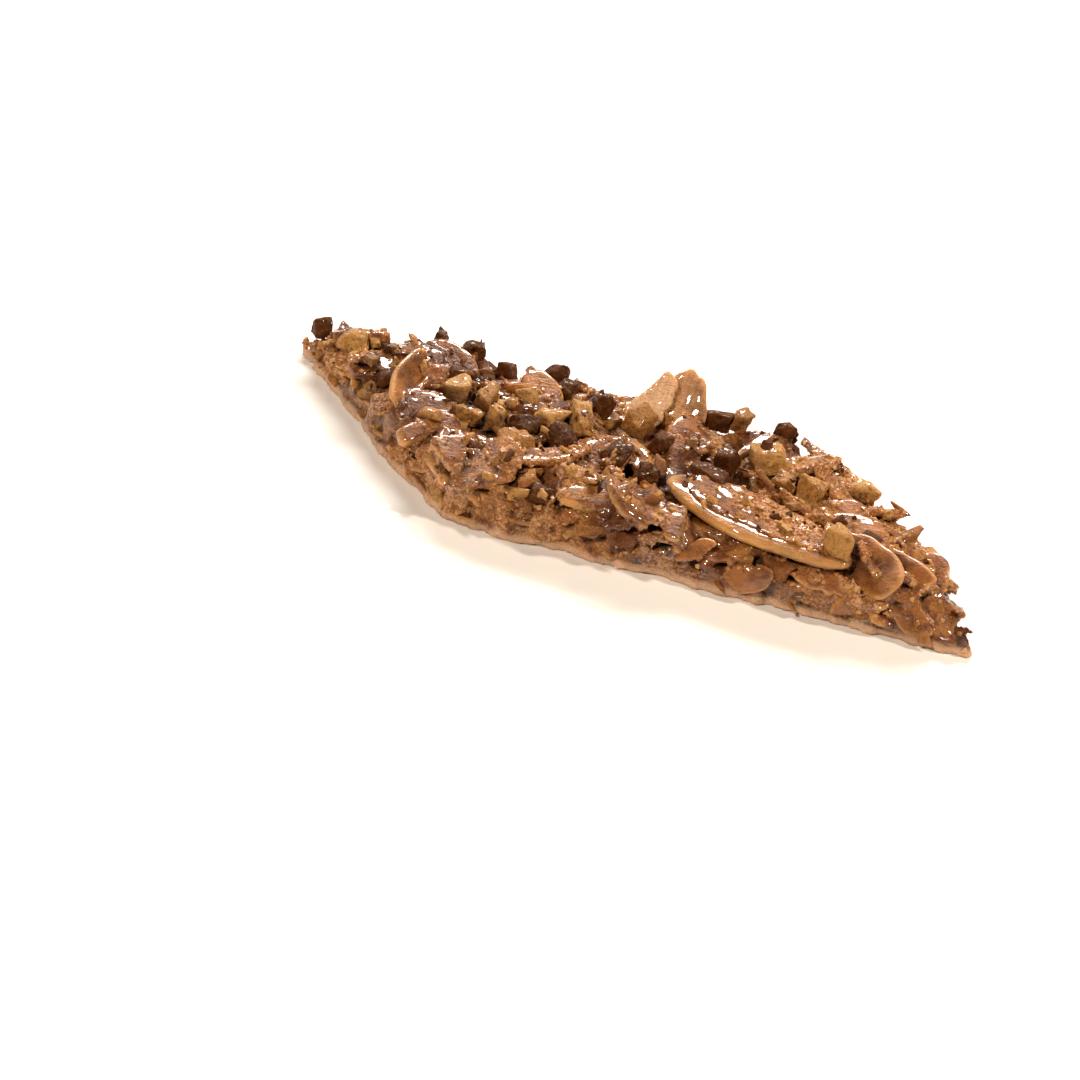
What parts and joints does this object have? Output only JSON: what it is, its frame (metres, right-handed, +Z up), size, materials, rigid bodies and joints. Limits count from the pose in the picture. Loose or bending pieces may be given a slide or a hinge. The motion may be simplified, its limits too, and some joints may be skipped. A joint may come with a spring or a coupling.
{
  "type": "nut brittle piece",
  "caption": "Broken lozenge of sliced almond brittle in glossy caramel, topped with chopped pistachios and cocoa nibs, lying on its flat underside",
  "frame": {"origin": "Middle of the footprint at the underside, on the surface that the piece lies on", "axes": "+X along the long cut front edge, +Y towards the back edge, +Z up through the topped side"},
  "size_m": [0.0794, 0.0302, 0.0102],
  "materials": {
    "caramel_brittle": "glossy cooked caramel binding sliced almonds, sandy where the nuts are crushed",
    "almond_slice": "toasted flaked almond under a thin caramel glaze",
    "pistachio": "chopped pistachio, yellow green turned tan by caramel",
    "cocoa_nib": "dark roasted cocoa nib, dry, with small glossy chips"
  },
  "bodies": {
    "root": {"brittle_slab": "caramel_brittle", "almond_slice_01": "almond_slice", "almond_slice_02": "almond_slice", "almond_slice_03": "almond_slice", "almond_slice_04": "almond_slice", "almond_slice_05": "almond_slice", "almond_slice_06": "almond_slice", "almond_slice_07": "almond_slice", "almond_slice_08": "almond_slice", "almond_slice_09": "almond_slice", "almond_slice_10": "almond_slice", "almond_slice_11": "almond_slice", "almond_slice_12": "almond_slice", "almond_slice_13": "almond_slice", "almond_slice_14": "almond_slice", "almond_slice_15": "almond_slice", "almond_slice_16": "almond_slice", "almond_slice_17": "almond_slice", "almond_slice_18": "almond_slice", "almond_slice_19": "almond_slice", "almond_slice_20": "almond_slice", "almond_slice_21": "almond_slice", "almond_slice_22": "almond_slice", "pistachio_01": "pistachio", "pistachio_02": "pistachio", "pistachio_03": "pistachio", "pistachio_04": "pistachio", "pistachio_05": "pistachio", "pistachio_06": "pistachio", "pistachio_07": "pistachio", "pistachio_08": "pistachio", "pistachio_09": "pistachio", "pistachio_10": "pistachio", "pistachio_11": "pistachio", "pistachio_12": "pistachio", "pistachio_13": "pistachio", "pistachio_14": "pistachio", "pistachio_15": "pistachio", "pistachio_16": "pistachio", "cocoa_nib_01": "cocoa_nib", "cocoa_nib_02": "cocoa_nib", "cocoa_nib_03": "cocoa_nib", "cocoa_nib_04": "cocoa_nib", "cocoa_nib_05": "cocoa_nib", "cocoa_nib_06": "cocoa_nib", "cocoa_nib_07": "cocoa_nib", "cocoa_nib_08": "cocoa_nib", "cocoa_nib_09": "cocoa_nib", "cocoa_nib_10": "cocoa_nib", "cocoa_nib_11": "cocoa_nib", "cocoa_nib_12": "cocoa_nib", "cocoa_nib_13": "cocoa_nib", "cocoa_nib_14": "cocoa_nib", "cocoa_nib_15": "cocoa_nib", "cocoa_nib_16": "cocoa_nib", "cocoa_nib_17": "cocoa_nib", "cocoa_nib_18": "cocoa_nib"}
  },
  "joints": []
}
